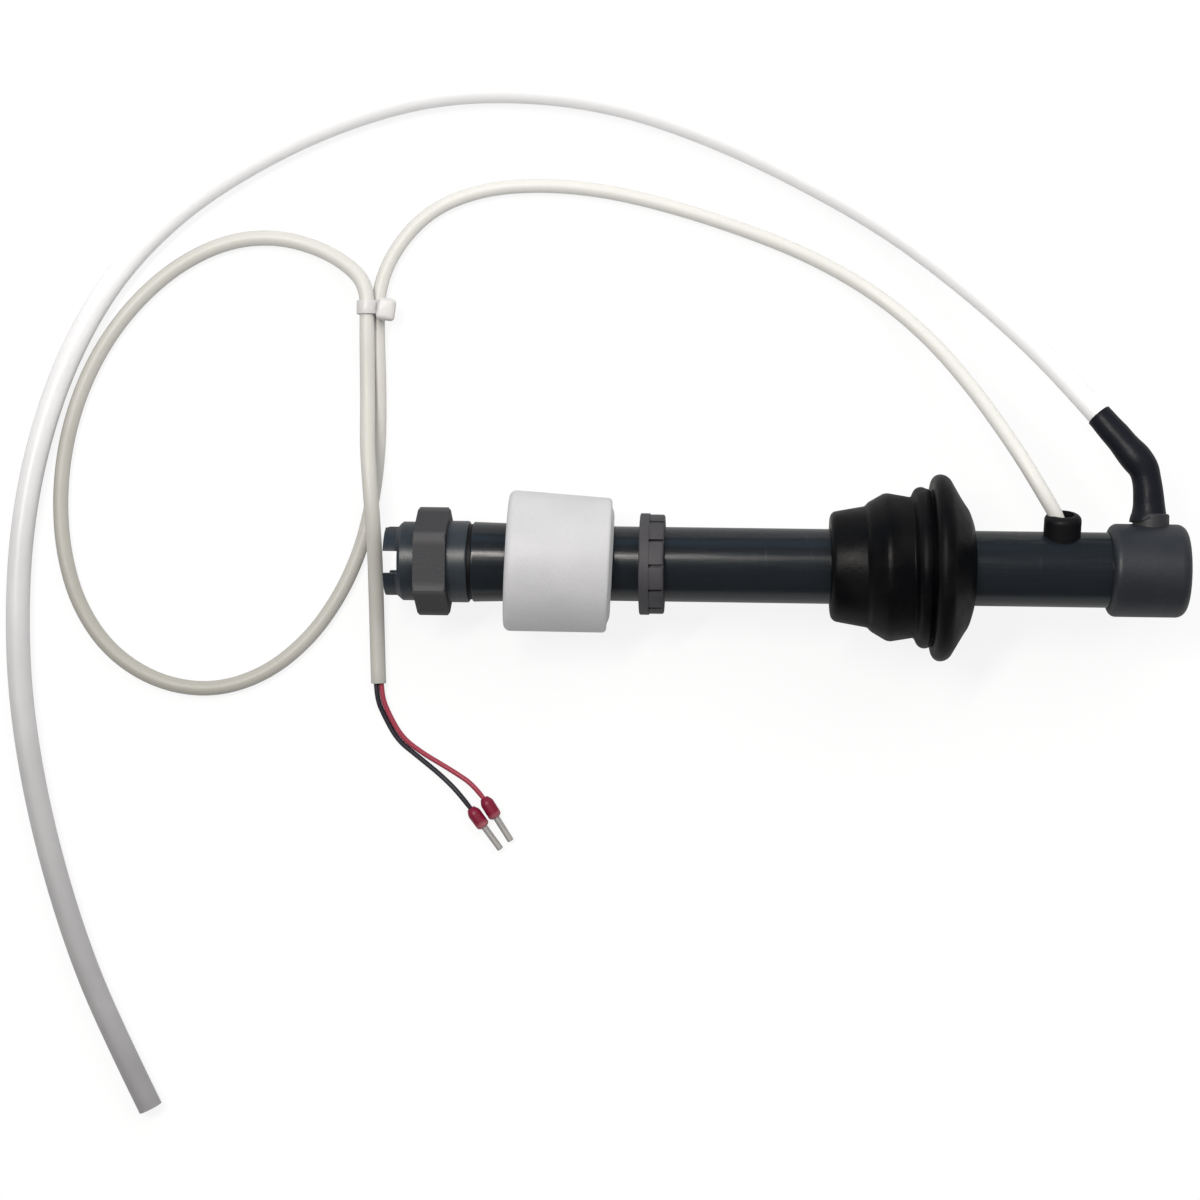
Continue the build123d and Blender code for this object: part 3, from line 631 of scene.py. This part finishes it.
bung_finish.relief(bung_finish.speckle(1300.0, 4.0), 0.05 * MM)
finished("bung", shell, bung_finish, "bung", ["rubber_bung"])

# %% [markdown]
# ## The cable tie
# A nylon strap round both strands of the cable, drawn tight. The second strand rides on the
# first, so the strap stands askew round them, and its head lies in the corner that they leave.

# %% Tie
tie_finish = Finish(
    "natural nylon",
    (0.54, 0.53, 0.525),
    0.4,
    Subsurface_Weight=0.3,
    Subsurface_Radius=(0.002, 0.002, 0.002),
    Subsurface_Scale=1.0,
)
tie_finish.relief(tie_finish.speckle(1500.0, 3.0), 0.03 * MM)
tie_finish.vary("Roughness", tie_finish.speckle(800.0) * 0.25 + 0.25)
tie_place = (-0.112225, 0.0693, 0.0045)
strand_spacing = 4.0
strap_inner, strap_outer, strap_width = 2.1, 2.9, 3.7
strap_tilt = radians(48.5)
head_size = (5.0, 6.0, 4.0)
head_turn = radians(-7.0)
head_place = (3.9, -0.5, 2.4)


def strap_ring(bm, radius):
    """Loop of edges round both strands, in the XZ plane, in millimetres."""
    upright = Matrix.Rotation(pi / 2, 4, "X")
    made = bmesh.ops.create_circle(bm, segments=36, radius=radius, matrix=upright)
    for vert in made["verts"]:
        vert.co.x += strand_spacing / 2 if vert.co.x > 0 else -strand_spacing / 2
    return {edge for vert in made["verts"] for edge in vert.link_edges}


def rounded(bm, edges, width, segments):
    """Round some edges, as a mould leaves them."""
    bmesh.ops.bevel(
        bm,
        geom=edges,
        offset=width,
        offset_type="OFFSET",
        segments=segments,
        profile=0.5,
        affect="EDGES",
        material=-1,
    )


shell = bmesh.new()
loops = strap_ring(shell, strap_inner) | strap_ring(shell, strap_outer)
bmesh.ops.bridge_loops(shell, edges=list(loops))
grown = bmesh.ops.extrude_face_region(shell, geom=shell.faces[:])["geom"]
moved = [part for part in grown if isinstance(part, bmesh.types.BMVert)]
bmesh.ops.translate(shell, verts=moved, vec=(0.0, strap_width, 0.0))
bmesh.ops.translate(shell, verts=shell.verts[:], vec=(0.0, -strap_width / 2, 0.0))
bmesh.ops.recalc_face_normals(shell, faces=shell.faces[:])
rims = [edge for edge in shell.edges if edge.calc_face_angle(0.0) > radians(60.0)]
rounded(shell, rims, 0.2, 2)
shell.transform(Matrix.Rotation(strap_tilt, 4, "Y"))
head = bmesh.ops.create_cube(shell, size=1.0)["verts"]
bmesh.ops.scale(shell, verts=head, vec=head_size)
bmesh.ops.rotate(shell, verts=head, matrix=Matrix.Rotation(head_turn, 3, "Z"))
bmesh.ops.translate(shell, verts=head, vec=head_place)
rounded(shell, list({edge for vert in head for edge in vert.link_edges}), 1.1, 5)
shell.transform(Matrix.Translation(tie_place) @ Matrix.Scale(MM, 4))
tie = finished("tie", shell, tie_finish, "lance", ["cable_tie"])

# %% [markdown]
# ## Finishes of the measured pieces
# The rigid pieces keep their measured shape and get a finish each. What was turned on a lathe has
# fine rings round it, the extruded pipe has fine lines along it, and moulded pieces have an even
# grain. Corners that stand out far from the axis are rubbed a little lighter.


# %% Dressing
def dress(finish, *nodes):
    """Give measured pieces their finish."""
    for node in nodes:
        mesh = bpy.data.objects[node].data
        mesh.materials.clear()
        mesh.materials.append(finish.material)


def grained(name, dark, light, rough, grain, depth, **constants):
    """Moulded surface: a cloudy colour and an even grain, its depth in millimetres."""
    finish = Finish(name, dark, rough, **constants)
    cloud = finish.stretched(finish.speckle(120.0, 3.0), 0.35, 0.65)
    fine = finish.speckle(grain, 3.0)
    finish.vary("Base Color", finish.between(cloud * 0.6 + fine * 0.4, dark, light))
    finish.vary("Roughness", fine * 0.2 + (rough - 0.1))
    finish.relief(fine, depth * MM)
    return finish


pipe_finish = Finish("pipe", (0.009, 0.012, 0.016), 0.3)
lines = pipe_finish.speckle(1.0, 3.0, stretch=(25.0, 1400.0, 1400.0), turn=(0.0, slope, 0.0))
marks = pipe_finish.speckle(1.0, 5.0, stretch=(700.0, 90.0, 90.0))
scuffs = pipe_finish.stretched(marks, 0.58, 0.72)
pipe_colour = pipe_finish.between(lines, (0.0065, 0.0090, 0.0120), (0.0095, 0.0125, 0.0160))
pipe_finish.vary("Base Color", pipe_colour)
pipe_finish.vary("Roughness", lines * 0.10 + scuffs * 0.06 + 0.18)
pipe_finish.relief(lines, 0.02 * MM)
dress(pipe_finish, "lance_tube")

foot_finish = Finish("turned foot", (0.015, 0.021, 0.028), 0.38)
along, out = foot_finish.on_lance()
rings = foot_finish.node("TexNoise", {"noise_dimensions": "1D"}, {"W": along * 5.0, "Scale": 1.0})
worn = foot_finish.stretched(out + foot_finish.speckle(500.0, 3.0) * 0.6, 10.6, 11.4)
foot_colour = foot_finish.between(worn, (0.013, 0.019, 0.026), (0.024, 0.030, 0.036))
foot_finish.vary("Base Color", foot_colour)
foot_finish.vary("Roughness", rings * 0.15 + 0.28)
foot_finish.relief(rings, 0.02 * MM)
dress(foot_finish, "foot_strainer", "foot_body")

nut_finish = Finish("moulded nut", (0.032, 0.031, 0.035), 0.6)
along, out = nut_finish.on_lance()
fine = nut_finish.speckle(1600.0, 3.0)
worn = nut_finish.stretched(out + fine * 0.5, 13.7, 14.4)
nut_colour = nut_finish.between(worn, (0.027, 0.027, 0.031), (0.058, 0.057, 0.061))
nut_finish.vary("Base Color", nut_colour)
nut_finish.vary("Roughness", fine * 0.2 + 0.5)
nut_finish.relief(fine, 0.05 * MM)
dress(nut_finish, "foot_nut")

dark, light = (0.032, 0.031, 0.036), (0.053, 0.050, 0.055)
dress(grained("moulded ring", dark, light, 0.6, 1500.0, 0.05), "stop_ring")
dark, light = (0.013, 0.016, 0.021), (0.020, 0.022, 0.027)
dress(grained("moulded cap", dark, light, 0.46, 1300.0, 0.04), "end_cap")
dark, light = (0.020, 0.020, 0.023), (0.031, 0.030, 0.033)
dress(grained("moulded elbow", dark, light, 0.55, 1500.0, 0.04), "hose_elbow")
dark, light = (0.003, 0.003, 0.004), (0.006, 0.006, 0.007)
seal_finish = grained("seal rubber", dark, light, 0.5, 1400.0, 0.05, Specular_IOR_Level=0.2)
dress(seal_finish, "foot_gasket", "cable_grommet", "valve_seat")
dark, light = (0.34, 0.33, 0.32), (0.46, 0.45, 0.43)
pin_finish = grained("tinned pin", dark, light, 0.45, 1500.0, 0.01, Metallic=0.5)
dress(pin_finish, "ferrule_pin_black", "ferrule_pin_red")

# %% [markdown]
# What is inside gets a finish too, so a cut through the lance shows it: the valve's ball, the
# float's magnet, and the switch that the magnet closes through the pipe's wall.

# %% Pieces inside
dress(hose_finish, "inner_hose")
for colour, finish in core_finishes.items():
    dress(finish, f"inner_core_{colour}")
dark, light = (0.78, 0.78, 0.76), (0.84, 0.84, 0.82)
dress(grained("ball", dark, light, 0.25, 900.0, 0.01), "valve_ball")
dark, light = (0.09, 0.09, 0.10), (0.13, 0.13, 0.14)
dress(grained("magnet", dark, light, 0.5, 1200.0, 0.05), "float_magnet")
dark, light = (0.27, 0.27, 0.27), (0.33, 0.33, 0.33)
dress(grained("capsule", dark, light, 0.45, 900.0, 0.03), "reed_capsule")
dark, light = (0.03, 0.03, 0.03), (0.05, 0.05, 0.05)
dress(grained("resin", dark, light, 0.2, 400.0, 0.05), "capsule_potting")
dark, light = (0.70, 0.82, 0.76), (0.80, 0.90, 0.84)
glass_finish = grained("switch glass", dark, light, 0.1, 300.0, 0.01, Transmission_Weight=0.9)
dress(glass_finish, "reed_glass")
dark, light = (0.55, 0.55, 0.55), (0.65, 0.65, 0.65)
dress(grained("leads", dark, light, 0.3, 900.0, 0.01, Metallic=1.0), "reed_leads")

# %% [markdown]
# ## Floor and light
# The floor is a pale sheet that is nearly white to the camera and keeps the lance's soft shadow.
# A narrow lamp draws the bright line along the dark pipe, a blue one adds the sky's cold sheen to
# its far side, and a large one to the right gives the even light of a window. The window shows in
# no reflection, and reflections see a darker room than the one that lights the lance.

# %% Floor
floor_finish = Finish("pale floor", (0.86, 0.86, 0.86), 0.9)
floor_size = 3.0
shell = bmesh.new()
bmesh.ops.create_grid(shell, x_segments=1, y_segments=1, size=floor_size)
floor_mesh = bpy.data.meshes.new("floor")
shell.to_mesh(floor_mesh)
shell.free()
floor = bpy.data.objects.new("floor", floor_mesh)
bpy.context.scene.collection.objects.link(floor)
floor_mesh.materials.append(floor_finish.material)

seen = floor_finish.node("LightPath", output="Is Camera Ray")
mirrored = floor_finish.node("LightPath", output="Is Glossy Ray")
whiteness = seen * 0.85 + mirrored * 0.6
brightness = seen * 0.8 + 0.2
white = (1.0, 1.0, 1.0, 1.0)
glow = floor_finish.node("Emission", {}, {"Color": white, "Strength": brightness})
paper = Varying(floor_finish, floor_finish.shader.outputs[0])
mixed = floor_finish.node("MixShader", {}, {0: whiteness, 1: paper, 2: glow})
floor_finish.feed(floor_finish.nodes["Material Output"], "Surface", mixed)


# %% Lamps
def softbox(name, place, size, watts, tint, aim=(0.0, 0.0, 0.0)):
    """Rectangular lamp at a place, turned towards a point."""
    lamp = bpy.data.lights.new(name, "AREA")
    lamp.shape = "RECTANGLE"
    lamp.size, lamp.size_y = size
    lamp.energy = watts
    lamp.color = tint
    holder = bpy.data.objects.new(name, lamp)
    holder.location = place
    holder.rotation_euler = (Vector(aim) - Vector(place)).to_track_quat("-Z", "Y").to_euler()
    bpy.context.scene.collection.objects.link(holder)
    return holder


foot_aim = (-0.1, 0.0, 0.0)
warm, blue, daylight = (1.0, 0.95, 0.90), (0.42, 0.68, 1.0), (1.0, 0.99, 0.96)
softbox("strip_lamp", (-0.405, 0.30, 1.1), (0.62, 0.09), 9.2, warm, foot_aim)
softbox("sky", (-0.45, 1.05, 0.42), (1.3, 0.5), 0.85, blue)
window = softbox("window", (0.32, 0.62, 0.72), (1.1, 0.8), 7.2, daylight)
window.visible_glossy = False

# %% Room light
room_strength = 0.44
mirrored_strength = 0.12
world = bpy.data.worlds.new("studio")
bpy.context.scene.world = world
world.use_nodes = True
world_nodes = world.node_tree.nodes
background = world_nodes["Background"]
background.inputs["Color"].default_value = (0.95, 0.97, 1.0, 1.0)
rays = world_nodes.new("ShaderNodeLightPath")
room = world_nodes.new("ShaderNodeMapRange")
room.inputs["To Min"].default_value = room_strength
room.inputs["To Max"].default_value = mirrored_strength
world.node_tree.links.new(rays.outputs["Is Glossy Ray"], room.inputs["Value"])
world.node_tree.links.new(room.outputs["Result"], background.inputs["Strength"])
bpy.context.scene.view_settings.view_transform = "Standard"
